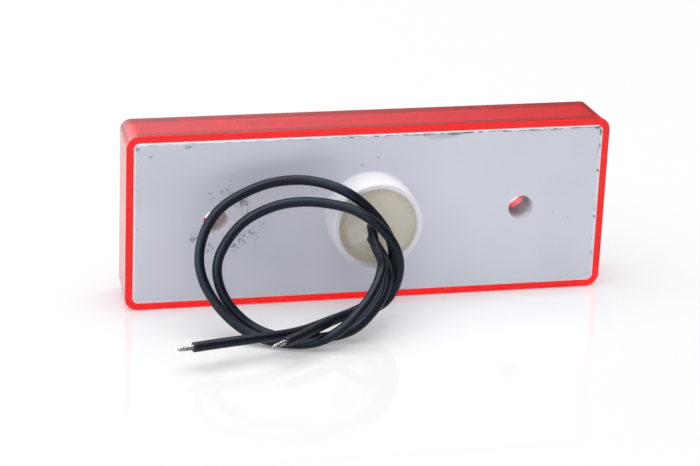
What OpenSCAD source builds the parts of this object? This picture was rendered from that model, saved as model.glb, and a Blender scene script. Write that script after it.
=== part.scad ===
// Sealed trailer tail light: red lens, white rear base with a cable boss, and two bare-ended wires.
// Millimetres. X across the lamp, +Y to the lens front, Z up; the lamp stands on its lower edge at Z = 0.

/* [Lamp] */
// Width at the rim
lamp_w = 110; // [106:1:130]
// Height at the rim
lamp_h = 41; // [41:0.5:56]
// Depth of the lens from its front face to the rim
lens_depth = 14; // [13.5:0.1:18]
// Corner radius at the rim
corner_r = 3; // [2.5:0.1:5]
// Draft of the lens sides in degrees
draft = 3; // [0.5:0.1:4]
// Rounding of the front edge
front_r = 0.5; // [0.3:0.1:1.8]
// Bevel of the rim's outer edge
rim_bevel = 0.1; // [0.1:0.1:0.6]

/* [Lens walls] */
// Wall of the rim around the base
rim_wall = 1.6; // [1.2:0.1:1.8]
// Width of the shoulder that the base seats on
shoulder = 0.7; // [0.5:0.1:1.2]
// Front wall
front_wall = 2.2; // [1.6:0.1:2.6]
// Depth of the shoulder below the rim
seat_depth = 3.2; // [2.2:0.1:3.4]
// Spacing of the upright flutes inside the front wall
flute_pitch = 4; // [3:0.5:6]
// Height of a flute
flute_h = 0.6; // [0.3:0.1:0.8]

/* [Screws] */
// Distance of each fixing screw from its end of the lamp
screw_inset = 20; // [19:0.5:22]
// Hole for a 5 mm screw
screw_hole_d = 5.7; // [5.2:0.1:6.2]
// Recess for the screw head
recess_d = 10; // [9:0.5:11]
// Depth of the recess
recess_depth = 4.9; // [3.5:0.1:5.2]
// Wall around the recess
cup_wall = 1.7; // [1.2:0.1:2]
// Floor under the screw head
cup_floor = 2; // [1.5:0.1:2.2]

/* [Base] */
// Thickness of the plate
plate_t = 2.5; // [2:0.1:2.8]
// Height of the plate above the rim
plate_proud = 0.6; // [0.3:0.1:1.6]
// Bevel of the plate's rear edge
plate_bevel = 0.4; // [0.2:0.1:0.6]
// Gap between the base and the rim
fit_gap = 0.1; // [0.05:0.05:0.2]
// Gap between the base and what it seats on in the lens
seat_gap = 0.05; // [0.02:0.01:0.1]
// Wall of the skirt behind the plate
skirt_wall = 1.5; // [1.2:0.1:2]
// Wall of the screw tubes
tube_wall = 1.8; // [1.4:0.1:2]

/* [Cable boss] */
// Outside diameter
boss_d = 20.2; // [18:0.1:24]
// Wall
boss_wall = 1.35; // [1:0.05:1.8]
// Height above the plate
boss_len = 7.6; // [6:0.1:9]
// Floor between the boss and the lamp's inside
boss_floor = 1.2; // [0.8:0.1:1.6]
// Fillet at the foot
boss_fillet = 0.5; // [0.3:0.1:0.8]

/* [Sealing compound] */
// Depth of its face below the boss tip
fill_drop = 2.4; // [1.5:0.1:3]
// Climb at the wall
climb = 0.9; // [0.3:0.1:1.2]

/* [Circuit board] */
// Thickness
board_t = 1.6; // [1.2:0.1:1.8]
// Gap between the board and the lens wall
board_gap = 1.2; // [1:0.1:1.4]
// Height of the posts that carry the board
post_h = 2.5; // [2:0.1:2.7]
// Diameter of the posts
post_d = 4; // [3.5:0.1:5]

/* [Light sources] */
// Side of an LED body
led_w = 7.6; // [6.8:0.1:7.8]
// Height of an LED body
led_h = 3; // [2.5:0.1:3.2]
// Diameter of an LED dome
dome_d = 5; // [4:0.1:5.4]
// Height of an LED dome
dome_h = 1.2; // [0.8:0.1:1.4]

/* [Wires] */
// Outside diameter of the insulation
wire_d = 2.2; // [1.8:0.1:2.2]
// Diameter of the conductor
core_d = 1.1; // [0.8:0.1:1.2]
// Bare length at the free end
strip_len = 3.6; // [2.5:0.1:6]
// Distance of the wires from the boss axis, to the side
exit_x = -1; // [-1.5:0.5:-0.5]
// Distance of the lower wire below the boss axis
exit_drop = 3.5; // [3.2:0.1:4]
// Distance between the two wires
exit_pitch = 3; // [2.8:0.1:3.2]

/* [Hidden] */
$fn = 64;
slope = tan(draft);
lens_wall = rim_wall + shoulder;
// depths measured from the lens front
shoulder_z = lens_depth - seat_depth;
rear_z = lens_depth + plate_proud;
plate_z = rear_z - plate_t;
tip_z = rear_z + boss_len;
floor_z = plate_z + boss_floor;
fill_z = tip_z - fill_drop;
board_z = plate_z - post_h;
board_front = board_z - board_t;
cup_z = recess_depth + cup_floor;
core_z = board_z + 0.5;
// plan sizes
base_w = lamp_w - 2 * (rim_wall + fit_gap);
base_h = lamp_h - 2 * (rim_wall + fit_gap);
base_r = corner_r - rim_wall - fit_gap;
cavity_r = max(corner_r - lens_wall, 0.4 + (lens_depth + 1) * slope);
board_w = lamp_w - 2 * (lens_wall + board_gap);
board_h = lamp_h - 2 * (lens_wall + board_gap);
screw_x = lamp_w / 2 - screw_inset;
cup_r = recess_d / 2 + cup_wall;
tube_r = screw_hole_d / 2 + tube_wall;
boss_r = boss_d / 2;
bore_r = boss_r - boss_wall;
post_x = screw_x - tube_r - post_d;
post_y = board_h / 2 - post_d - 1;
pin_d = post_d / 2;
// light sources: four between the screws and one beyond each
led_gap = 0.3;
lead_d = 0.6;
lead_inset = 1.3;
lead_x = led_w / 2 - lead_inset;
lead_out = 1;
joint_w = 1.1;
joint_neck = 0.2;
joint_h = 0.8;
led_in = (core_d + joint_w + led_w) / 2 + led_gap - exit_x;
led_mid = (led_in + led_w / 2 + screw_x - cup_r) / 2;
led_out = (screw_x + cup_r + board_w / 2) / 2;
led_x = [-led_out, -led_mid, -led_in, led_in, led_mid, led_out];
// small components: place, reach of the legs, body length and body diameter
part_inset = 6;
part_leg = 5.5;
part_x = part_leg + 2.5;
part_y = board_h / 2 - part_inset;
bend_r = 0.6;
resistor_l = 6.3;
resistor_d = 2.4;
diode_l = 5.2;
diode_d = 2.7;
part_lift = 0.1;
// frame of the lamp: its front face, and the boss tip and axis that the routes were laid out from
front_y = tip_z / 2;
route_tip = -11.1;
route_axis = 20.5;
route_shift = [0, front_y - tip_z - route_tip, lamp_h / 2 - route_axis];

// first stretch of a wire, straight out of the board through the compound
exit_y = [front_y - core_z, front_y - floor_z - 1.8, front_y - fill_z - 0.8];
function exit_run(drop) = [for (y = exit_y) [exit_x, y, lamp_h / 2 - drop]];

// the longer wire: down to the floor, round the outer loop, across the boss and out to the left
route_a = [
  [-1.5, -12, 19.5], [-1.5, -15, 17], [-0.5, -18.5, 15.5], [-1.5, -21.5, 14.5], [-3, -24.5, 12.5],
  [-5.5, -27, 10], [-8.5, -29, 7.5], [-12, -30, 4.5], [-16.5, -30, 2], [-21, -29, 1.2],
  [-27, -26.5, 1.2], [-32, -24, 2.5], [-37, -20.5, 6.5], [-40.5, -17, 12], [-41, -14.5, 17],
  [-39.5, -12.5, 22], [-36, -10.5, 26.5], [-30.5, -9, 29], [-24.5, -8, 31], [-17.5, -8, 31.5],
  [-12, -10, 31], [-7, -13, 29.5], [-2.5, -13, 25.5], [1.5, -13, 20.5], [3.5, -13, 15.5],
  [2.5, -14, 10.5], [1, -15.5, 7], [-2.5, -17.5, 5], [-7.5, -20, 4], [-13.5, -23.5, 4],
  [-21, -29, 4], [-30, -32.5, 5], [-38.5, -34, 5], [-45.5, -35.5, 5]];

// the shorter wire: the same way inside the first, and out ahead of it
route_b = [
  [-0.5, -12, 16.5], [0.5, -14, 15], [1, -16, 13.5], [0.5, -18, 12.5], [0, -20.5, 11],
  [-1.5, -23.5, 8.5], [-4.5, -25, 5.5], [-8, -26, 2.5], [-13, -26, 1.2], [-20, -26, 1.2],
  [-26, -24, 1.2], [-31, -21, 3], [-35, -18.5, 7], [-37, -16.5, 11.5], [-37, -15, 16],
  [-34.5, -13.5, 20], [-31, -12, 23.5], [-26.5, -11, 25.5], [-21.5, -10.5, 27], [-15.5, -11.5, 27.5],
  [-10.5, -13, 27], [-6.5, -15, 26.5], [-3, -17, 24.5], [0.5, -18, 21.5], [3, -18.5, 17],
  [3.5, -18.5, 13], [2.5, -18.5, 8.5], [0, -19.5, 5.5], [-4, -21.5, 5], [-9, -23.5, 5.5],
  [-14.5, -27.5, 5.5], [-20, -32.5, 5.5], [-25.5, -35.5, 5]];

function shifted(p) = [for (q = p) q + route_shift];
function unit(v) = v / norm(v);
function last(p) = p[len(p) - 1];

// rounds a route: every ring lies on the cubic curve that its points draw
function rings(p) = [for (i = [0:len(p) - 1])
  i == 0 || i == len(p) - 1 ? p[i] : (p[i - 1] + 4 * p[i] + p[i + 1]) / 6];

// finer points on the same curve, for measuring
function cubic(p, i, u) = (pow(1 - u, 3) * p[i - 1] + (3 * pow(u, 3) - 6 * pow(u, 2) + 4) * p[i]
  + (-3 * pow(u, 3) + 3 * pow(u, 2) + 3 * u + 1) * p[i + 1] + pow(u, 3) * p[i + 2]) / 6;
function fine(p) = [for (i = [1:len(p) - 3]) for (u = [0:0.2:0.8]) cubic(p, i, u)];
function run(p, i = 1) = i == len(p) ? 0 : norm(p[i] - p[i - 1]) + run(p, i + 1);

points_a = concat(exit_run(exit_drop - exit_pitch), shifted(route_a));
points_b = concat(exit_run(exit_drop), shifted(route_b));
path_a = rings(points_a);
path_b = rings(points_b);
fine_a = fine(points_a);
fine_b = fine(points_b);
function apart(p, q) = min([for (a = p) min([for (b = q) norm(a - b)])]) - wire_d;
function self_apart(p) = min([for (i = [0:len(p) - 17]) min([for (j = [i + 16:len(p) - 1])
  norm(p[i] - p[j])])]) - wire_d;
echo(gap_between = apart(fine_a, fine_b), gap_a = self_apart(fine_a), gap_b = self_apart(fine_b));
echo(length_a = run(path_a), length_b = run(path_b), lowest = min([for (q = fine_a) q.z]) - wire_d / 2);

// turns a shape drawn with X across, Y up and Z behind the lens front into the lamp's frame
module place() {
  translate([0, front_y, lamp_h / 2])
    rotate([90, 0, 0])
      children();
}

// carries an edge section around a rectangle between corner centres
module around(w, h) {
  for (i = [0:3]) {
    side = i % 2 == 0 ? w / 2 : h / 2;
    span = i % 2 == 0 ? h : w;
    rotate(90 * i)
      translate([side, span / 2, 0]) {
        rotate([90, 0, 0])
          linear_extrude(span)
            children();
        rotate_extrude(angle = 90)
          children();
      }
  }
}

// edge section of a drafted block: r next to z1, rounded by e at z0, bevelled by b at z1
module edge(r, z0, z1, s, e, b) {
  a = r - (z1 - b - z0) * s;
  er = min(e, a - 0.1);
  tilt = atan(s);
  cx = a + er * s - er / cos(tilt);
  polygon(concat(
    [[0, z0]],
    er > 0 ? [for (i = [0:6]) let (q = -90 + (90 - tilt) * i / 6)
      [cx + er * cos(q), z0 + er + er * sin(q)]] : [[a, z0]],
    b > 0 ? [[r, z1 - b], [r - b, z1]] : [[r, z1]],
    [[0, z1]]));
}

// rounded rectangular block between two depths
module block(w, h, r, z0, z1, s = 0, e = 0.2, b = 0.2) {
  around(w - 2 * r, h - 2 * r)
    edge(r, z0, z1, s, e, b);
  translate([r - w / 2, r - h / 2, z0])
    cube([w - 2 * r, h - 2 * r, z1 - z0]);
}

module at_screws() {
  for (x = [-screw_x, screw_x])
    translate([x, 0, 0])
      children();
}

module at_posts() {
  for (x = [-post_x, post_x])
    for (y = [-post_y, post_y])
      translate([x, y, 0])
        children();
}

module at_wires() {
  for (y = [exit_pitch - exit_drop, -exit_drop])
    translate([exit_x, y, 0])
      children();
}

// places of the leads of one LED
module at_leads() {
  for (x = [-lead_x, lead_x])
    for (y = [-lead_x, lead_x])
      translate([x, y, 0])
        children();
}

// places of the small components: two resistors above and the diode below
module at_parts() {
  for (p = [[-part_x, part_y, 0], [part_x, part_y, 0], [0, -part_y, 0]])
    translate(p)
      children();
}

module at_legs() {
  for (x = [-part_leg, part_leg])
    translate([x, 0, 0])
      children();
}

// a flute is a low round rib on the front wall
module flute(x, span) {
  r = pow(flute_pitch * 0.45, 2) / (2 * flute_h) + flute_h / 2;
  translate([x, span / 2, front_wall])
    rotate([90, 0, 0])
      linear_extrude(span)
        difference() {
          translate([0, flute_h - r])
            circle(r);
          translate([-r - 1, -2 * r - 1.2])
            square([2 * r + 2, 2 * r + 1]);
        }
}

module flutes() {
  half_w = lamp_w / 2 - lens_wall - lens_depth * slope - 1.5;
  span = lamp_h - 2 * (lens_wall + lens_depth * slope + 1.2);
  count = floor(half_w / flute_pitch);
  for (i = [-count:count]) {
    x = i * flute_pitch;
    reach = flute_pitch / 2;
    clear_in = abs(x) + reach < screw_x - cup_r - 0.3;
    clear_out = abs(x) - reach > screw_x + cup_r + 0.3 && abs(x) + reach < half_w;
    if (clear_in || clear_out)
      flute(x, span);
  }
}

module lens() {
  color([0.85, 0.05, 0.07])
    place()
      difference() {
        union() {
          difference() {
            block(lamp_w, lamp_h, corner_r, 0, lens_depth, slope, front_r, rim_bevel);
            block(lamp_w - 2 * lens_wall, lamp_h - 2 * lens_wall, cavity_r,
              front_wall, lens_depth + 1, slope, 0.2, 0);
            block(lamp_w - 2 * rim_wall, lamp_h - 2 * rim_wall, corner_r - rim_wall,
              shoulder_z, lens_depth + 1, 0, 0, 0);
          }
          at_screws()
            translate([0, 0, 1])
              cylinder(r = cup_r, h = cup_z - 1);
          flutes();
        }
        at_screws()
          translate([0, 0, -1])
            cylinder(d = recess_d, h = recess_depth + 1);
        at_screws()
          cylinder(d = screw_hole_d, h = cup_z + 1);
      }
}

module boss() {
  f = boss_fillet;
  rotate_extrude()
    polygon(concat(
      [[0, plate_z + 0.2], [boss_r + f, plate_z + 0.2]],
      [for (i = [0:5]) let (q = 90 * i / 5) [boss_r + f - f * sin(q), rear_z + f - f * cos(q)]],
      [[boss_r, tip_z - 0.3], [boss_r - 0.3, tip_z], [0, tip_z]]));
}

module rear_base() {
  color([0.86, 0.86, 0.9])
    place()
      difference() {
        union() {
          difference() {
            block(base_w, base_h, base_r, shoulder_z + seat_gap, rear_z, 0, 0.05, plate_bevel);
            block(base_w - 2 * skirt_wall, base_h - 2 * skirt_wall, 0.8,
              shoulder_z - 1, plate_z, 0, 0.1, 0.1);
          }
          boss();
          at_screws()
            translate([0, 0, cup_z + seat_gap])
              cylinder(r = tube_r, h = plate_z - cup_z + 0.5);
          at_posts() {
            translate([0, 0, board_z])
              cylinder(d = post_d, h = post_h + 0.5);
            translate([0, 0, board_front - 0.3])
              cylinder(d = pin_d, h = board_t + 1);
            translate([0, 0, board_front - 0.8])
              cylinder(d1 = pin_d, d2 = post_d, h = 0.8);
          }
        }
        translate([0, 0, floor_z])
          cylinder(r = bore_r, h = tip_z);
        translate([0, 0, tip_z - 0.25])
          cylinder(r1 = bore_r, r2 = bore_r + 0.5, h = 0.5);
        at_wires()
          translate([0, 0, plate_z - 1])
            cylinder(d = wire_d + 0.4, h = plate_t);
        at_screws()
          translate([0, 0, cup_z - 1])
            cylinder(d = screw_hole_d, h = rear_z);
      }
}

module potting_plug() {
  color([0.78, 0.74, 0.66])
    place()
      difference() {
        rotate_extrude()
          polygon(concat(
            [[0, floor_z], [bore_r, floor_z]],
            [for (i = [8:-1:0]) [bore_r * (0.2 + 0.1 * i), fill_z + climb * pow(i / 8, 4)]],
            [[0, fill_z]]));
        at_wires()
          translate([0, 0, floor_z - 1])
            cylinder(d = wire_d + fit_gap, h = tip_z);
      }
}

module circuit_board() {
  color([0.75, 0.78, 0.72])
    place()
      translate([0, 0, board_front])
        linear_extrude(board_t)
          difference() {
            square([board_w, board_h], center = true);
            at_screws()
              circle(tube_r + 0.4);
            at_posts()
              circle(d = pin_d + 0.2);
            at_wires()
              circle(d = core_d + 0.2);
            for (x = led_x)
              translate([x, 0])
                at_leads()
                  circle(d = lead_d + 0.2);
            at_parts()
              at_legs()
                circle(d = lead_d + 0.2);
          }
}

module led(i) {
  cap_r = (pow(dome_d / 2, 2) + pow(dome_h, 2)) / (2 * dome_h);
  color([0.9, 0.35, 0.3])
    place()
      translate([led_x[i], 0, board_front - led_h]) {
        translate([-led_w / 2, -led_w / 2, 0])
          cube([led_w, led_w, led_h]);
        intersection() {
          translate([0, 0, cap_r - dome_h])
            sphere(cap_r);
          translate([-led_w, -led_w, -led_w])
            cube([2 * led_w, 2 * led_w, led_w + 0.2]);
        }
      }
}

module led_leads() {
  color([0.75, 0.75, 0.76])
    place()
      for (x = led_x)
        translate([x, 0, board_front])
          at_leads()
            cylinder(d = lead_d, h = board_t + lead_out);
}

// round body lying on the board
module lying(d, l) {
  translate([-l / 2, 0, board_front - part_lift - d / 2])
    rotate([0, 90, 0])
      cylinder(d = d, h = l);
}

module resistor(side) {
  color([0.72, 0.6, 0.42])
    place()
      translate([side * part_x, part_y, 0])
        lying(resistor_d, resistor_l);
}

module diode() {
  color([0.12, 0.12, 0.13])
    place()
      translate([0, -part_y, 0])
        lying(diode_d, diode_l);
}

// one leg: out of the body, round a bend and through the board
module leg(side, l, d) {
  z = board_front - part_lift - d / 2;
  tube([
    [side * l / 2, 0, z],
    [side * (part_leg - bend_r), 0, z],
    [side * (part_leg - bend_r * 0.3), 0, z + bend_r * 0.3],
    [side * part_leg, 0, z + bend_r],
    [side * part_leg, 0, board_z + lead_out]], lead_d);
}

module component_leads() {
  color([0.75, 0.75, 0.76])
    place()
      for (s = [-1, 1]) {
        for (side = [-1, 1])
          translate([side * part_x, part_y, 0])
            leg(s, resistor_l, resistor_d);
        translate([0, -part_y, 0])
          leg(s, diode_l, diode_d);
      }
}

// cone of solder around a lead
module joint(d) {
  difference() {
    cylinder(d1 = d + joint_w, d2 = d + joint_neck, h = joint_h);
    translate([0, 0, -joint_h])
      cylinder(d = d + 0.02, h = 3 * joint_h);
  }
}

module solder_joints() {
  color([0.7, 0.7, 0.72])
    place() {
      translate([0, 0, board_z]) {
        for (x = led_x)
          translate([x, 0, 0])
            at_leads()
              joint(lead_d);
        at_parts()
          at_legs()
            joint(lead_d);
      }
      translate([0, 0, board_front])
        mirror([0, 0, 1])
          at_wires()
            joint(core_d);
    }
}

// directions along a path, and a side direction carried along it without twist
function tangents(p) = [for (i = [0:len(p) - 1]) unit(p[min(i + 1, len(p) - 1)] - p[max(i - 1, 0)])];
function level(n, t) = unit(n - (n * t) * t);
function sides(t, n, i = 0) = i == len(t) ? [] :
  let (m = level(n, t[i])) concat([m], sides(t, m, i + 1));

// round tube along a path
module tube(p, d) {
  k = 8;
  t = tangents(p);
  n = sides(t, [0.31, 0.17, 0.93]);
  pts = [for (i = [0:len(p) - 1]) for (j = [0:k - 1]) let (q = 360 * j / k)
    p[i] + d / 2 * (cos(q) * n[i] + sin(q) * cross(t[i], n[i]))];
  end = (len(p) - 1) * k;
  polyhedron(pts, concat(
    [[for (j = [0:k - 1]) j], [for (j = [k - 1:-1:0]) end + j]],
    [for (i = [0:len(p) - 2]) for (j = [0:k - 1]) let (a = i * k + j, b = i * k + (j + 1) % k)
      [a, a + k, b + k]],
    [for (i = [0:len(p) - 2]) for (j = [0:k - 1]) let (a = i * k + j, b = i * k + (j + 1) % k)
      [a, b + k, b]]));
}

module wire_a() {
  color([0.1, 0.1, 0.13])
    tube(path_a, wire_d);
}

module wire_b() {
  color([0.1, 0.1, 0.13])
    tube(path_b, wire_d);
}

// bare strands twisted together, seven as seen from the end
module strands(p) {
  d = unit(last(p) - p[len(p) - 2]);
  strand = core_d / 3;
  color([0.76, 0.75, 0.73])
    translate(last(p))
      rotate([0, acos(d.z), atan2(d.y, d.x)])
        linear_extrude(strip_len, twist = -200, slices = 10) {
          circle(d = core_d * 0.72, $fn = 12);
          for (q = [0:60:300])
            rotate(q)
              translate([strand, 0])
                circle(d = strand, $fn = 8);
        }
}

module wire_a_tip() {
  strands(path_a);
}

module wire_b_tip() {
  strands(path_b);
}

// conductor from the end of the insulation through the board
module core(drop) {
  color([0.76, 0.75, 0.73])
    place()
      translate([exit_x, -drop, board_front - lead_out])
        cylinder(d = core_d, h = core_z - board_front + lead_out);
}

module wire_a_core() {
  core(exit_drop - exit_pitch);
}

module wire_b_core() {
  core(exit_drop);
}

lens();
rear_base();
potting_plug();
circuit_board();
led(0);  // led_1
led(1);  // led_2
led(2);  // led_3
led(3);  // led_4
led(4);  // led_5
led(5);  // led_6
led_leads();
resistor(-1);  // resistor_1
resistor(1);  // resistor_2
diode();
component_leads();
solder_joints();
wire_a();
wire_b();
wire_a_tip();
wire_b_tip();
wire_a_core();
wire_b_core();
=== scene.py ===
"""Looks of a sealed trailer tail light seen from behind: red lens, white base, potted boss, two wires."""

import math
import random

import bpy
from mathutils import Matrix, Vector


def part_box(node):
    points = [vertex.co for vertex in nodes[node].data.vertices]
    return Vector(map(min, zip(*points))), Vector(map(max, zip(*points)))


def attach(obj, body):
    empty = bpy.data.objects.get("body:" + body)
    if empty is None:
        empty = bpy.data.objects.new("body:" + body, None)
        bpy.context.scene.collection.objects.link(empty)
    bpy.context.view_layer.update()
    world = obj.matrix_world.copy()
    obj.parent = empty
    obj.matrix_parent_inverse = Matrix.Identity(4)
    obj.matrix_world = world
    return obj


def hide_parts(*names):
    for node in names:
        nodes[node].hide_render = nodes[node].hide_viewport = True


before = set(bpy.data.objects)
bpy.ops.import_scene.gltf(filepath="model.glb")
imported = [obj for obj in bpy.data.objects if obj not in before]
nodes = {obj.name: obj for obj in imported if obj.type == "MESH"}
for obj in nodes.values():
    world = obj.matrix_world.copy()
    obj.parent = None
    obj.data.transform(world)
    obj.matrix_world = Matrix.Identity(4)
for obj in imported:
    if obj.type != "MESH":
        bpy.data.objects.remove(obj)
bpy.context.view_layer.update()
MM = 0.001

# Sizes and places that the looks share with the solids, in millimetres
WIRE_D = 2.2
STRIP_LEN = 3.6
EXIT_X = -1.0
EXIT_HEIGHTS = (20.0, 17.0)
BOSS_AXIS = 20.5
REAR_FACE = -3.5
FILL_FACE = -8.7
FILL_R = 8.75
SCREW_X = 35.0
SCREW_R = 2.85

# Camera fitted to the photograph: place in metres, turn in degrees, focal length and sensor in millimetres
CAMERA_AT = (-0.1419, -0.5562, 0.2411)
CAMERA_TURN = (68.44, -2.23, -13.08)
CAMERA_LENS = 140.9
CAMERA_SENSOR = 36
CAMERA_CLIP = 0.01

# Routes of the wires in metres, as in the part's source
ROUTE_A = [
    (-0.001, 0.001, 0.02), (-0.001, -0.004, 0.02), (-0.001, -0.0095, 0.02), (-0.0015, -0.012, 0.0195),
    (-0.0015, -0.015, 0.017), (-0.0005, -0.0185, 0.0155), (-0.0015, -0.0215, 0.0145),
    (-0.003, -0.0245, 0.0125), (-0.0055, -0.027, 0.01), (-0.0085, -0.029, 0.0075),
    (-0.012, -0.03, 0.0045), (-0.0165, -0.03, 0.002), (-0.021, -0.029, 0.0012),
    (-0.027, -0.0265, 0.0012), (-0.032, -0.024, 0.0025), (-0.037, -0.0205, 0.0065),
    (-0.0405, -0.017, 0.012), (-0.041, -0.0145, 0.017), (-0.0395, -0.0125, 0.022),
    (-0.036, -0.0105, 0.0265), (-0.0305, -0.009, 0.029), (-0.0245, -0.008, 0.031),
    (-0.0175, -0.008, 0.0315), (-0.012, -0.01, 0.031), (-0.007, -0.013, 0.0295),
    (-0.0025, -0.013, 0.0255), (0.0015, -0.013, 0.0205), (0.0035, -0.013, 0.0155),
    (0.0025, -0.014, 0.0105), (0.001, -0.0155, 0.007), (-0.0025, -0.0175, 0.005),
    (-0.0075, -0.02, 0.004), (-0.0135, -0.0235, 0.004), (-0.021, -0.029, 0.004),
    (-0.03, -0.0325, 0.005), (-0.0385, -0.034, 0.005), (-0.0455, -0.0355, 0.005),
]
ROUTE_B = [
    (-0.001, 0.001, 0.017), (-0.001, -0.004, 0.017), (-0.001, -0.0095, 0.017),
    (-0.0005, -0.012, 0.0165), (0.0005, -0.014, 0.015), (0.001, -0.016, 0.0135),
    (0.0005, -0.018, 0.0125), (0.0, -0.0205, 0.011), (-0.0015, -0.0235, 0.0085),
    (-0.0045, -0.025, 0.0055), (-0.008, -0.026, 0.0025), (-0.013, -0.026, 0.0012),
    (-0.02, -0.026, 0.0012), (-0.026, -0.024, 0.0012), (-0.031, -0.021, 0.003),
    (-0.035, -0.0185, 0.007), (-0.037, -0.0165, 0.0115), (-0.037, -0.015, 0.016),
    (-0.0345, -0.0135, 0.02), (-0.031, -0.012, 0.0235), (-0.0265, -0.011, 0.0255),
    (-0.0215, -0.0105, 0.027), (-0.0155, -0.0115, 0.0275), (-0.0105, -0.013, 0.027),
    (-0.0065, -0.015, 0.0265), (-0.003, -0.017, 0.0245), (0.0005, -0.018, 0.0215),
    (0.003, -0.0185, 0.017), (0.0035, -0.0185, 0.013), (0.0025, -0.0185, 0.0085), (0.0, -0.0195, 0.0055),
    (-0.004, -0.0215, 0.005), (-0.009, -0.0235, 0.0055), (-0.0145, -0.0275, 0.0055),
    (-0.02, -0.0325, 0.0055), (-0.0255, -0.0355, 0.005),
]


# Camera

def make_camera():
    data = bpy.data.cameras.new("camera")
    data.lens = CAMERA_LENS
    data.sensor_width = CAMERA_SENSOR
    data.sensor_fit = "HORIZONTAL"
    data.clip_start = CAMERA_CLIP
    camera = bpy.data.objects.new("camera", data)
    camera.location = CAMERA_AT
    camera.rotation_euler = [math.radians(a) for a in CAMERA_TURN]
    bpy.context.collection.objects.link(camera)
    bpy.context.scene.camera = camera


make_camera()


# Shader helpers

class Nodes:
    """A tree of shader nodes, whose inputs are numbers or other nodes' outputs."""

    def __init__(self, tree):
        self.tree = tree

    def set(self, socket, value):
        if isinstance(value, bpy.types.NodeSocket):
            self.tree.links.new(value, socket)
        else:
            socket.default_value = value

    def node(self, kind, settings=None, **inputs):
        made = self.tree.nodes.new(kind)
        for key, value in (settings or {}).items():
            setattr(made, key, value)
        for key, value in inputs.items():
            self.set(made.inputs[key.replace("_", " ")], value)
        return made

    def math(self, operation, *values):
        made = self.node("ShaderNodeMath", {"operation": operation})
        for socket, value in zip(made.inputs, values):
            self.set(socket, value)
        return made.outputs[0]

    def fold(self, operation, first, *others):
        for other in others:
            first = self.math(operation, first, other)
        return first

    def times(self, *factors):
        return self.fold("MULTIPLY", *factors)

    def plus(self, *terms):
        return self.fold("ADD", *terms)

    def minus(self, a, b):
        return self.math("SUBTRACT", a, b)

    def largest(self, *values):
        return self.fold("MAXIMUM", *values)

    def ramp(self, value, low, high, start=0.0, end=1.0, kind="SMOOTHSTEP"):
        """Goes from start to end while the value goes from low to high."""
        made = self.node(
            "ShaderNodeMapRange", {"interpolation_type": kind},
            Value=value, From_Min=low, From_Max=high, To_Min=start, To_Max=end,
        )
        return made.outputs["Result"]

    def mix(self, factor, a, b):
        """Colour between a and b. Its sockets go by number, because several share a name."""
        made = self.node("ShaderNodeMix", {"data_type": "RGBA"})
        for key, value in ((0, factor), (6, a), (7, b)):
            self.set(made.inputs[key], value)
        return made.outputs[2]

    def coordinates(self, kind):
        return self.node("ShaderNodeTexCoord").outputs[kind]

    def split(self, vector):
        made = self.node("ShaderNodeSeparateXYZ", Vector=vector).outputs
        return made["X"], made["Y"], made["Z"]


class Shader(Nodes):
    """A material with one principled surface."""

    def __init__(self, name):
        self.material = bpy.data.materials.new(name)
        self.material.use_nodes = True
        super().__init__(self.material.node_tree)
        self.surface = self.tree.nodes["Principled BSDF"]
        self.output = self.tree.nodes["Material Output"]

    def put(self, **inputs):
        for key, value in inputs.items():
            self.set(self.surface.inputs[key.replace("_", " ")], value)

    def place(self, stretch=(1, 1, 1)):
        """Position on the object in millimetres, stretched."""
        factor = [share / MM for share in stretch]
        at = self.coordinates("Object")
        return self.node("ShaderNodeMapping", Vector=at, Scale=factor).outputs["Vector"]

    def noise(self, size, detail=2.0, stretch=(1, 1, 1), rough=0.5):
        """Noise whose lumps are about size millimetres."""
        made = self.node(
            "ShaderNodeTexNoise",
            Vector=self.place(stretch), Scale=1 / size, Detail=detail, Roughness=rough,
        )
        return made.outputs["Fac"]

    def spread(self, noise, low, high):
        """Noise, which mostly lies between 0.3 and 0.7, spread from low to high."""
        return self.ramp(noise, 0.3, 0.7, low, high)

    def oval(self, x, z, centre, half):
        """Distance from a centre as a share of an oval's half sizes."""
        across = self.math("DIVIDE", self.minus(x, centre[0]), half[0])
        upward = self.math("DIVIDE", self.minus(z, centre[1]), half[1])
        squares = [self.math("POWER", share, 2.0) for share in (across, upward)]
        return self.math("SQRT", self.plus(*squares))

    def bump(self, height, depth_mm, strength):
        made = self.node("ShaderNodeBump", Height=height, Strength=strength, Distance=depth_mm * MM)
        self.put(Normal=made.outputs["Normal"])


def grey(value):
    return (value, value, value, 1)


# Materials of the wires

def wire_material():
    s = Shader("black_pvc")
    s.put(
        Base_Color=s.mix(s.noise(6.0, 3), (0.003, 0.004, 0.008, 1), (0.006, 0.0075, 0.013, 1)),
        Roughness=s.spread(s.noise(1.5, 4), 0.3, 0.4),
        Specular_IOR_Level=0.3,
        Specular_Tint=(0.74, 0.85, 1.0, 1),
    )
    s.bump(s.noise(0.25, 3), 0.01, 0.5)
    return s.material


def tinned_material():
    s = Shader("tinned_copper")
    lumps = s.noise(0.35, 3)
    s.put(
        Base_Color=s.mix(s.ramp(lumps, 0.38, 0.6), (0.12, 0.115, 0.11, 1), (0.6, 0.59, 0.575, 1)),
        Roughness=s.spread(lumps, 0.22, 0.42),
        Metallic=1.0,
    )
    s.bump(lumps, 0.05, 0.8)
    return s.material


# Material of the white base. Its places and distances are in millimetres.

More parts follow.
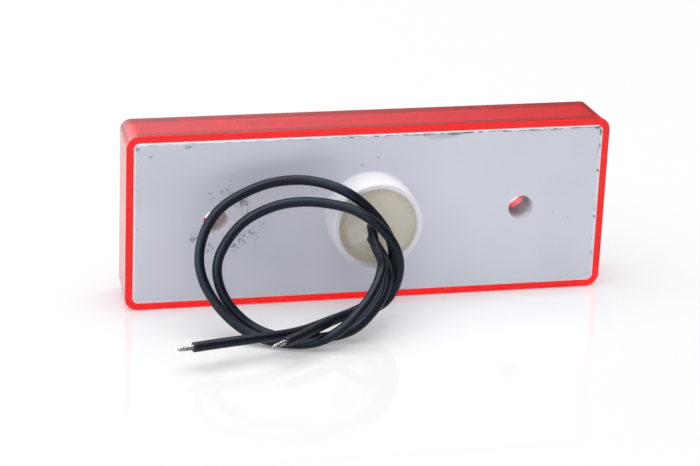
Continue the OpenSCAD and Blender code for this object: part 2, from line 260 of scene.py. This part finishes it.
# Single marks on the plate: place across, height, half length, half height, and darkness
MARKS = (
    (-41.5, 38.3, 1.2, 0.6, 0.45), (-49.7, 36.3, 0.4, 0.4, 0.55), (-52.6, 38.2, 0.7, 0.6, 0.6),
    (12.6, 38.9, 3.2, 0.4, 0.6), (18.2, 38.8, 3.4, 0.45, 0.8), (15.5, 38.2, 4.5, 0.7, 0.3),
    (1.2, 34.0, 0.4, 0.4, 0.4), (-2.2, 32.3, 0.6, 0.4, 0.4), (-29.0, 25.1, 1.0, 0.6, 0.7),
    (51.8, 38.9, 1.2, 0.4, 0.9), (52.7, 37.8, 0.4, 1.1, 0.9), (52.7, 34.7, 0.3, 0.8, 0.7),
    (52.7, 28.6, 0.5, 0.5, 0.8), (52.7, 17.4, 0.4, 0.5, 0.8), (42.7, 18.9, 0.35, 0.35, 0.3),
    (46.2, 17.5, 0.35, 0.35, 0.3),
)

# Scuffed places round the left screw hole: place across, height, radius, and how worn
SCUFFS = (
    (-29.3, 25.0, 2.4, 1.0), (-28.1, 22.4, 2.0, 0.6), (-32.8, 27.4, 2.2, 0.5), (-36.9, 26.3, 2.0, 0.4),
    (-24.6, 19.3, 1.8, 0.4), (-26.6, 17.4, 2.4, 0.7), (-29.4, 16.2, 2.0, 0.8), (-30.8, 14.2, 1.8, 0.7),
    (-40.0, 16.8, 1.9, 0.8), (-36.3, 14.2, 2.0, 0.6), (-31.9, 30.7, 1.6, 0.3),
)

# Heights between which the grime of the upper edge and the painted shade inside the rim set in
UPPER_EDGE = (30.0, 36.0)

PLATE_SHADED = (0.74, 0.745, 0.81, 1)
PLATE_FILM_AND_SHADE = (0.66, 0.665, 0.73, 1)
PAINTED_LIGHT_PALE = (0.845, 0.835, 0.855, 1)
INSIDE = (0.94, 0.93, 0.93, 1)
TUBE_SHADE = (0.47, 0.52, 0.55, 1)
RIM_SHADE = (0.3, 0.24, 0.25, 1)
GRIME = (0.06, 0.055, 0.06, 1)


def plate_edges(s, x, z):
    """Distances from the plate's nearest side edge, and from its nearest upper or lower edge."""
    low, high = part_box("rear_base")
    half_x = (high.x - low.x) / 2 / MM
    half_z = (high.z - low.z) / 2 / MM
    to_side = s.minus(half_x, s.math("ABSOLUTE", x))
    to_top = s.minus(half_z, s.math("ABSOLUTE", s.minus(z, BOSS_AXIS)))
    return to_side, to_top


def edge_grime(s, x, z, to_side, to_top):
    """Dashes of grime along the upper edge, and flecks down the right one."""
    dashes = s.ramp(s.noise(0.5, 5, (0.22, 1, 1), 0.65), 0.47, 0.57)
    by_top = s.times(s.ramp(to_top, 0.62, 0.38), s.ramp(to_top, 0.13, 0.23))
    along_top = s.times(s.ramp(z, *UPPER_EDGE), s.ramp(x, -32.0, 5.0, 0.35, 1.0))
    flecks = s.ramp(s.noise(0.7, 4, (1, 1, 0.45), 0.65), 0.56, 0.63)
    by_side = s.times(s.ramp(to_side, 1.2, 0.75), s.ramp(to_side, 0.5, 0.65))
    along_side = s.plus(s.ramp(x, 30.0, 50.0, 0.25, 0.75), s.ramp(z, 30.0, 38.0, 0.0, 0.25))
    return s.largest(s.times(dashes, by_top, along_top), s.times(flecks, by_side, along_side))


def worn_places(s, x, z):
    """How worn the plate is, from 0 to 1."""
    worn = 0.0
    for across, upward, radius, amount in SCUFFS:
        away = s.oval(x, z, (across, upward), (radius, radius))
        worn = s.largest(worn, s.ramp(away, 1.0, 0.15, 0.0, amount))
    return worn


def scuff_specks(s, worn):
    """Specks that lie closer where the plate is more worn."""
    specks = s.plus(s.noise(0.75, 4, rough=0.65), s.times(worn, 0.17))
    return s.times(s.ramp(specks, 0.58, 0.76), s.ramp(worn, 0.0, 0.2), 0.7)


def single_marks(s, x, z):
    """Marks whose outlines are broken up by the same fine noise."""
    ragged = s.times(s.noise(0.4, 4, (0.4, 1, 1), 0.7), 1.6)
    dirt = 0.0
    for across, upward, half_x, half_z, dark in MARKS:
        away = s.plus(s.oval(x, z, (across, upward), (half_x, half_z)), ragged)
        dirt = s.largest(dirt, s.ramp(away, 1.75, 1.15, 0.0, dark))
    return dirt


def film_and_painted_shade(s, x, z, worn):
    """Film in clouds and round the scuffs, and painted shade that darkens the plate toward both ends and the
    upper left.
    """
    clouds = s.ramp(s.noise(14.0, 3), 0.4, 0.75, 0.0, 0.3)
    ends = s.ramp(s.math("ABSOLUTE", x), 15.0, 50.0, 0.0, 0.4)
    upper_left = s.times(s.ramp(z, 20.0, 35.0), s.ramp(x, 25.0, 0.0, 0.0, 0.8))
    return s.plus(clouds, ends, upper_left, s.times(worn, 0.5))


def lit_border_and_boss(s, x, y, z, to_side, to_top):
    """The bevelled border, painted pale as a highlight and drawn wider at the right and below, and the boss,
    painted paler than the rear face as painted light.
    """
    wider_right = s.ramp(x, -1.0, 1.0, 0.0, 0.45)
    wider_below = s.ramp(z, BOSS_AXIS + 1.0, BOSS_AXIS - 1.0, 0.0, 0.4)
    nearest = s.math("MINIMUM", s.minus(to_side, wider_right), s.minus(to_top, wider_below))
    return s.largest(s.ramp(nearest, 0.26, 0.16), s.ramp(y, REAR_FACE - 0.1, REAR_FACE - 0.4))


def screw_tube_shade(s, x, y, z):
    """Walls of the screw tubes, painted darker with depth as shade in the bores."""
    away = s.oval(s.math("ABSOLUTE", x), z, (SCREW_X, BOSS_AXIS), (SCREW_R, SCREW_R))
    return s.times(s.ramp(away, 1.15, 1.05), s.ramp(y, REAR_FACE + 0.5, REAR_FACE + 5.0))


def rim_shade_line(s, y, z, to_top):
    """Painted shade: a dark band on the base's edge inside the lens's rim, along the upper edge."""
    depth = s.ramp(y, REAR_FACE + 0.55, REAR_FACE + 0.75)
    return s.times(depth, s.ramp(to_top, 0.2, 0.1), s.ramp(z, *UPPER_EDGE))


def base_material():
    s = Shader("white_abs")
    x, y, z = s.split(s.place())
    on_rear = s.ramp(y, REAR_FACE + 0.6, REAR_FACE + 0.3)
    to_side, to_top = plate_edges(s, x, z)
    worn = worn_places(s, x, z)
    grime = edge_grime(s, x, z, to_side, to_top)
    dirt = s.times(s.largest(grime, scuff_specks(s, worn), single_marks(s, x, z)), on_rear)

    # Film in clouds and round the scuffs, with painted shade toward both ends and the upper left
    rear = s.mix(s.times(film_and_painted_shade(s, x, z, worn), on_rear), PLATE_SHADED, PLATE_FILM_AND_SHADE)
    # Painted highlight on the bevelled border, and the boss painted paler than the rear face of the same
    # plastic
    rear = s.mix(lit_border_and_boss(s, x, y, z, to_side, to_top), rear, PAINTED_LIGHT_PALE)
    # The rear face takes a darker copy of the same white plastic as painted shade, the rest of the base the
    # paler one
    clean = s.mix(on_rear, INSIDE, rear)
    # Painted shade inside the screw tubes, deeper in darker
    clean = s.mix(screw_tube_shade(s, x, y, z), clean, TUBE_SHADE)
    # Painted shade on the base's edge inside the lens's rim, along the upper edge
    clean = s.mix(rim_shade_line(s, y, z, to_top), clean, RIM_SHADE)
    s.put(
        Base_Color=s.mix(s.times(dirt, 0.9), clean, GRIME),
        Roughness=s.spread(s.noise(2.0, 4), 0.42, 0.56),
        Subsurface_Weight=0.06,
        Subsurface_Radius=(0.0012, 0.0011, 0.001),
    )
    s.bump(s.plus(s.noise(0.35, 4), s.times(dirt, -1.5)), 0.02, 0.5)
    return s.material


# Materials of the lens and the compound

def lens_material():
    """Clear plastic that takes up all but the red light along its way."""
    s = Shader("red_polycarbonate")
    s.put(
        Base_Color=(1.0, 0.86, 0.86, 1),
        Roughness=s.ramp(s.noise(9.0, 3), 0.35, 0.7, 0.1, 0.14),
        Transmission_Weight=1.0,
        IOR=1.52,
    )
    s.bump(s.noise(5.0, 2), 0.02, 0.1)
    volume = s.node("ShaderNodeVolumeAbsorption", Color=(0.993, 0.06, 0.065, 1), Density=1100.0)
    s.set(s.output.inputs["Volume"], volume.outputs["Volume"])
    return s.material


def potting_material():
    """Cloudy cream, with a paler patch beside the wires as a painted pool of light, and a browner band where
    it climbs the wall, reaching further in on the left, as painted shade.
    """
    s = Shader("cream_compound")
    x, _, z = s.split(s.place())
    cloud = s.mix(s.noise(4.0, 4), (0.85, 0.775, 0.64, 1), (0.93, 0.86, 0.735, 1))
    # Painted light: a paler pool beside the wires
    from_lit_patch = s.plus(s.oval(x, z, (-4.4, 18.0), (4.2, 4.2)), s.times(s.noise(2.0, 3), 0.6))
    cloud = s.mix(s.ramp(from_lit_patch, 1.1, 0.7), cloud, (0.98, 0.925, 0.79, 1))
    # Painted shade: a browner, darker band round the wall, reaching further in on the left
    from_axis = s.oval(x, z, (0.6, BOSS_AXIS), (FILL_R, FILL_R))
    s.put(
        Base_Color=s.mix(s.ramp(from_axis, 0.8, 0.98), cloud, (0.77, 0.7, 0.545, 1)),
        Roughness=s.spread(s.noise(1.5, 3), 0.26, 0.42),
        Subsurface_Weight=0.2,
        Subsurface_Radius=(0.002, 0.0017, 0.0012),
    )
    s.bump(s.noise(2.2, 3), 0.06, 0.4)
    return s.material


# Materials of the pieces inside

def board_material():
    s = Shader("white_solder_mask")
    weave = s.noise(0.5, 2)
    traces = s.node("ShaderNodeTexBrick", Vector=s.place(), Scale=0.12, Mortar_Size=0.03).outputs["Fac"]
    s.put(
        Base_Color=s.mix(traces, (0.92, 0.92, 0.9, 1), (0.82, 0.84, 0.8, 1)),
        Roughness=s.spread(weave, 0.3, 0.4),
    )
    s.bump(weave, 0.02, 0.3)
    return s.material


def led_material():
    """Red epoxy with a pale ring where the reflector cup shows."""
    s = Shader("red_epoxy")
    x, _, z = s.split(s.coordinates("Generated"))
    away = s.oval(x, z, (0.5, 0.5), (1.0, 1.0))
    cup = s.times(s.ramp(away, 0.1, 0.16), s.ramp(away, 0.3, 0.22))
    s.put(
        Base_Color=s.mix(cup, (0.75, 0.2, 0.16, 1), (0.9, 0.82, 0.78, 1)),
        Roughness=s.spread(s.noise(1.0, 2), 0.08, 0.16),
        Coat_Weight=0.4,
    )
    return s.material


def banded_material(name, body, band, bands):
    """Lacquered body with rings of colour at set shares of its length."""
    s = Shader(name)
    along, _, _ = s.split(s.coordinates("Generated"))
    painted = 0.0
    for at in bands:
        off = s.math("ABSOLUTE", s.minus(along, at))
        painted = s.largest(painted, s.ramp(off, 0.055, 0.045))
    s.put(
        Base_Color=s.mix(painted, body, band),
        Roughness=s.spread(s.noise(0.8, 2), 0.3, 0.4),
    )
    return s.material


def resistor_material():
    tan, brown = (0.55, 0.42, 0.26, 1), (0.2, 0.05, 0.03, 1)
    return banded_material("resistor_lacquer", tan, brown, (0.2, 0.38, 0.56, 0.82))


def diode_material():
    return banded_material("diode_epoxy", (0.02, 0.02, 0.022, 1), grey(0.6), (0.85,))


WIRE = wire_material()
TINNED = tinned_material()
BASE = base_material()
LENS = lens_material()
POTTING = potting_material()
BOARD = board_material()
LED = led_material()
RESISTOR = resistor_material()
DIODE = diode_material()


# Mesh helpers

# A side direction to start from, along which no wire begins
START_SIDE = (0.31, 0.17, 0.93)


def add_mesh(name, points, faces, material):
    mesh = bpy.data.meshes.new(name)
    mesh.from_pydata(points, [], faces)
    mesh.validate()
    mesh.polygons.foreach_set("use_smooth", [True] * len(mesh.polygons))
    mesh.materials.append(material)
    made = bpy.data.objects.new(name, mesh)
    bpy.context.collection.objects.link(made)
    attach(made, "root")
    return made


def cubic_path(route, steps):
    """Points on the uniform cubic curve that the route's points draw, with both ends kept."""
    p = [Vector(q) for q in route]
    first, last = 2 * p[0] - p[1], 2 * p[-1] - p[-2]
    p = [first] + p + [last]
    path = []
    for i in range(1, len(p) - 2):
        for k in range(steps):
            u = k / steps
            path.append((
                (1 - u) ** 3 * p[i - 1] + (3 * u ** 3 - 6 * u ** 2 + 4) * p[i]
                + (-3 * u ** 3 + 3 * u ** 2 + 3 * u + 1) * p[i + 1] + u ** 3 * p[i + 2]) / 6)
    return path + [Vector(route[-1])]


def frames_along(path):
    """Direction and two side directions at each point, carried along without twist."""
    side = Vector(START_SIDE)
    made = []
    for i in range(len(path)):
        along = (path[min(i + 1, len(path) - 1)] - path[max(i - 1, 0)]).normalized()
        side = (side - side.dot(along) * along).normalized()
        made.append((along, side, along.cross(side)))
    return made


def ring_at(centre, side, across, radius, count):
    turns = [2 * math.pi * k / count for k in range(count)]
    return [centre + radius * (math.cos(a) * side + math.sin(a) * across) for a in turns]


def skin(rings):
    """Faces over rings of equal count, with both ends closed."""
    count = len(rings[0])
    faces = []
    for i in range(len(rings) - 1):
        for k in range(count):
            n = (k + 1) % count
            faces.append((i * count + k, i * count + n, (i + 1) * count + n, (i + 1) * count + k))
    faces.append(tuple(range(count - 1, -1, -1)))
    faces.append(tuple(range((len(rings) - 1) * count, len(rings) * count)))
    return [p for ring in rings for p in ring], faces


# Wires

# Steps between two points of a route, and sides of the round insulation
PATH_STEPS = 8
WIRE_SIDES = 24
# Rounded cut end of the insulation: millimetres beyond the route's end, and share of the wire's radius
CUT_END = ((0.0, 0.995), (0.03, 0.95), (0.04, 0.88), (0.03, 0.6), (-0.5, 0.56))

# Strands: count round the middle one, radius, start inside the insulation, how much longer the middle one is
# and how much shorter the others may be, in millimetres
STRANDS_ROUND = 7
STRAND_R = 0.2
STRAND_ROOT = 0.45
MIDDLE_LONGER = 0.2
SHORTER_UP_TO = 0.5
# Their distance from the middle at the start, how far they close in, and how far they waver, in millimetres
STRAND_OUT = 0.4
STRAND_CLOSING = 0.13
STRAND_WAVER = 0.02
WAVER_RATE = 9
# Twist over the length, share of the length where the end starts to round off, and radius left at the end
STRAND_TWIST = 1.35 * math.pi
ROUND_FROM = 0.93
END_SHARE = 0.03
STRAND_STEPS = 26
STRAND_SIDES = 10


def make_wire(name, path, node):
    """Insulation as a tube, with a rounded cut end that opens around the strands."""
    radius = WIRE_D / 2 * MM
    frames = frames_along(path)
    rings = [ring_at(p, f[1], f[2], radius, WIRE_SIDES) for p, f in zip(path[:-1], frames)]
    along, side, across = frames[-1]
    for ahead, share in CUT_END:
        rings.append(ring_at(path[-1] + along * ahead * MM, side, across, radius * share, WIRE_SIDES))
    points, faces = skin(rings)
    wire = add_mesh(name, points, faces, WIRE)
    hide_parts(node)
    return wire


def strand_rings(k, reach, start, along, side, across):
    """Rings of strand k, which winds round the middle unless it is the middle one."""
    rings = []
    for i in range(STRAND_STEPS + 1):
        u = i / STRAND_STEPS
        out = STRAND_OUT - STRAND_CLOSING * u + STRAND_WAVER * math.sin(WAVER_RATE * u + k)
        if k == STRANDS_ROUND:
            out = 0.0
        angle = 2 * math.pi * k / STRANDS_ROUND + STRAND_TWIST * u
        at = start + along * (u * (reach + STRAND_ROOT) * MM)
        at += (math.cos(angle) * side + math.sin(angle) * across) * out * MM
        into_end = max(0.0, (u - ROUND_FROM) / (1 - ROUND_FROM))
        share = math.sqrt(max(0.0, 1 - into_end ** 2)) * (1 - END_SHARE) + END_SHARE
        rings.append(ring_at(at, side, across, STRAND_R * share * MM, STRAND_SIDES))
    return rings


def make_strands(name, path, node, seed):
    """Tinned strands twisted round one in the middle, each with its own length and rounded end."""
    draw = random.Random(seed)
    along, side, across = frames_along(path)[-1]
    start = path[-1] - along * STRAND_ROOT * MM
    all_points, all_faces = [], []
    for k in range(STRANDS_ROUND + 1):
        middle = k == STRANDS_ROUND
        reach = STRIP_LEN + (MIDDLE_LONGER if middle else draw.uniform(-SHORTER_UP_TO, 0.0))
        points, faces = skin(strand_rings(k, reach, start, along, side, across))
        shift = len(all_points)
        all_points += points
        all_faces += [tuple(v + shift for v in f) for f in faces]
    tip = add_mesh(name, all_points, all_faces, TINNED)
    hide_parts(node)
    return tip


def make_cord(letter, route, seed):
    path = cubic_path(route, PATH_STEPS)
    wire = make_wire(f"wire_{letter}_insulation", path, f"wire_{letter}")
    tip = make_strands(f"wire_{letter}_strands", path, f"wire_{letter}_tip", seed)


make_cord("a", ROUTE_A, seed=3)
make_cord("b", ROUTE_B, seed=8)


# Sealing compound

# Climb up the boss wall in millimetres, share of the radius where it starts, and how steeply it ends
WALL_CLIMB = 1.9
CLIMB_FROM = 0.2
CLIMB_POWER = 5
# Climb up each wire, and the distance over which it fades, in millimetres
WIRE_CLIMB = 0.55
WIRE_FADE = 0.5
PLUG_SIDES = 96
PLUG_RINGS = 36


def plug_face(x, z, radius):
    """Place of the cast face along the boss, with all lengths in millimetres."""
    share = math.hypot(x, z - BOSS_AXIS) / radius
    rise = WALL_CLIMB * max(0.0, (share - CLIMB_FROM) / (1 - CLIMB_FROM)) ** CLIMB_POWER
    to_wire = min(math.hypot(x - EXIT_X, z - height) for height in EXIT_HEIGHTS) - WIRE_D / 2
    rise += WIRE_CLIMB * math.exp(-max(to_wire, 0.0) / WIRE_FADE)
    return FILL_FACE - rise


def make_potting():
    """Cast face that climbs the boss wall and a little way up each wire."""
    low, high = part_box("potting_plug")
    radius = (high.x - low.x) / 2 / MM
    rings = []
    for i in range(PLUG_RINGS, 0, -1):
        ring = []
        for k in range(PLUG_SIDES):
            angle = 2 * math.pi * k / PLUG_SIDES
            x = radius * i / PLUG_RINGS * math.cos(angle)
            z = BOSS_AXIS + radius * i / PLUG_RINGS * math.sin(angle)
            ring.append(Vector((x, plug_face(x, z, radius), z)) * MM)
        rings.append(ring)
    rings.insert(0, [Vector((p.x, high.y, p.z)) for p in rings[0]])
    points, faces = skin(rings)
    plug = add_mesh("potting_face", points, faces, POTTING)
    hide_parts("potting_plug")


make_potting()


# Materials of the solids that stay as they are

DRESS = {
    "lens": LENS, "rear_base": BASE, "circuit_board": BOARD, "led_leads": TINNED, "component_leads": TINNED,
    "solder_joints": TINNED, "resistor_1": RESISTOR, "resistor_2": RESISTOR, "diode": DIODE,
    "wire_a_core": TINNED, "wire_b_core": TINNED,
}
DRESS.update({f"led_{i}": LED for i in range(1, 7)})


def dress(name, material):
    node = nodes[name]
    node.data.materials.clear()
    node.data.materials.append(material)


for part, look in DRESS.items():
    dress(part, look)


# Floor, surroundings and lamps

# Half the floor's size in metres, and its albedo where it throws light and where the camera sees it
FLOOR_HALF = 6.0
FLOOR_LIGHT = 0.85
FLOOR_SEEN = 0.95
# Oval round the lamp in millimetres, in which the floor shows shadow, and shares of plain white in it and
# beyond it
SHADOW_CENTRE = (0.0, -10.0)
SHADOW_HALF = (100.0, 90.0)
WHITE_NEAR = 0.2
WHITE_FAR = 0.95

# Soft light of the surroundings, from the camera's side and the right, and from beyond the lamp and the left
FRONT_LIGHT = 0.76
BACK_LIGHT = 0.3
# How much right and left count against near and far, and how far the change between the two reaches
SIDE_SHARE = 0.9
LIGHT_REACH = 1.1
# What a gloss mirrors of the surroundings: bright to the upper left, dim to the lower right
BRIGHT_WAY = (-0.92, 0.05, 0.38)
BRIGHT_FROM = -0.2
DIM_SEEN = 0.1
BRIGHT_SEEN = 3.5
# The surroundings are a little cool and the overhead lamp a little warm, so that shadows turn bluish
COOL = (0.94, 0.97, 1.05, 1)
WARM = (1.0, 0.98, 0.95)
WHITE = (1.0, 1.0, 1.0)


def floor_material():
    """Glossy white that turns to plain white away from the lamp, and where it is seen through the lens."""
    s = Shader("white_floor")
    paths = s.node("ShaderNodeLightPath").outputs
    s.put(
        Base_Color=s.mix(paths["Is Camera Ray"], grey(FLOOR_LIGHT), grey(FLOOR_SEEN)),
        Roughness=s.spread(s.noise(400.0, 2), 0.04, 0.06),
        Specular_IOR_Level=0.8,
    )
    x, y, _ = s.split(s.place())
    far = s.ramp(s.oval(x, y, SHADOW_CENTRE, SHADOW_HALF), 0.4, 1.2, WHITE_NEAR, WHITE_FAR)
    seen = s.times(s.largest(paths["Is Camera Ray"], paths["Is Glossy Ray"]), far)
    through_lens = s.times(paths["Is Transmission Ray"], WHITE_FAR)
    white = s.node("ShaderNodeEmission", Color=grey(1.0), Strength=1.0)
    blend = s.node("ShaderNodeMixShader")
    parts = (s.largest(seen, through_lens), s.surface.outputs["BSDF"], white.outputs["Emission"])
    for socket, value in zip(blend.inputs, parts):
        s.set(socket, value)
    s.set(s.output.inputs["Surface"], blend.outputs["Shader"])
    return s.material


def make_floor():
    corners = [(x * FLOOR_HALF, y * FLOOR_HALF, 0) for x, y in ((-1, -1), (1, -1), (1, 1), (-1, 1))]
    mesh = bpy.data.meshes.new("floor")
    mesh.from_pydata(corners, [], [(0, 1, 2, 3)])
    mesh.materials.append(floor_material())
    floor = bpy.data.objects.new("floor", mesh)
    bpy.context.collection.objects.link(floor)


def make_world():
    """Soft surroundings, which are white where they are seen directly or through the lens."""
    world = bpy.data.worlds.new("studio")
    world.use_nodes = True
    bpy.context.scene.world = world
    w = Nodes(world.node_tree)
    glow = w.tree.nodes["Background"]
    paths = w.node("ShaderNodeLightPath").outputs
    toward = w.split(w.coordinates("Generated"))

    bright = w.plus(*[w.times(part, share) for part, share in zip(toward, BRIGHT_WAY)])
    mirrored = w.ramp(bright, BRIGHT_FROM, 1.0, DIM_SEEN, BRIGHT_SEEN, "LINEAR")
    beyond = w.minus(toward[1], w.times(toward[0], SIDE_SHARE))
    soft = w.ramp(beyond, -LIGHT_REACH, LIGHT_REACH, FRONT_LIGHT, BACK_LIGHT, "LINEAR")
    gloss = w.times(paths["Is Glossy Ray"], mirrored)
    matt = w.times(w.minus(1.0, paths["Is Glossy Ray"]), soft)
    white = w.largest(paths["Is Camera Ray"], paths["Is Transmission Ray"])
    w.set(glow.inputs["Strength"], w.largest(w.plus(gloss, matt), white))
    w.set(glow.inputs["Color"], w.mix(white, COOL, grey(1.0)))


def make_light(name, at, size, power, colour):
    """Lamp of a size in metres and a power in watts, turned to the origin."""
    data = bpy.data.lights.new(name, "AREA")
    data.shape = "RECTANGLE"
    data.size, data.size_y = size
    data.energy = power
    data.color = colour
    light = bpy.data.objects.new(name, data)
    light.location = at
    light.rotation_euler = Vector(at).to_track_quat("Z", "Y").to_euler()
    bpy.context.collection.objects.link(light)


def lengthen_light_paths():
    """Light that runs along inside the clear lens needs long paths."""
    cycles = bpy.context.scene.cycles
    cycles.max_bounces = 32
    cycles.glossy_bounces = 24
    cycles.transmission_bounces = 32


make_floor()
make_world()
make_light("overhead", at=(-0.04, 0.06, 0.6), size=(0.78, 0.64), power=3.35, colour=WARM)
make_light("left_softbox", at=(-0.5, -0.3, 0.3), size=(0.11, 0.2), power=0.35, colour=WHITE)
lengthen_light_paths()
bpy.context.scene.view_settings.view_transform = "Standard"
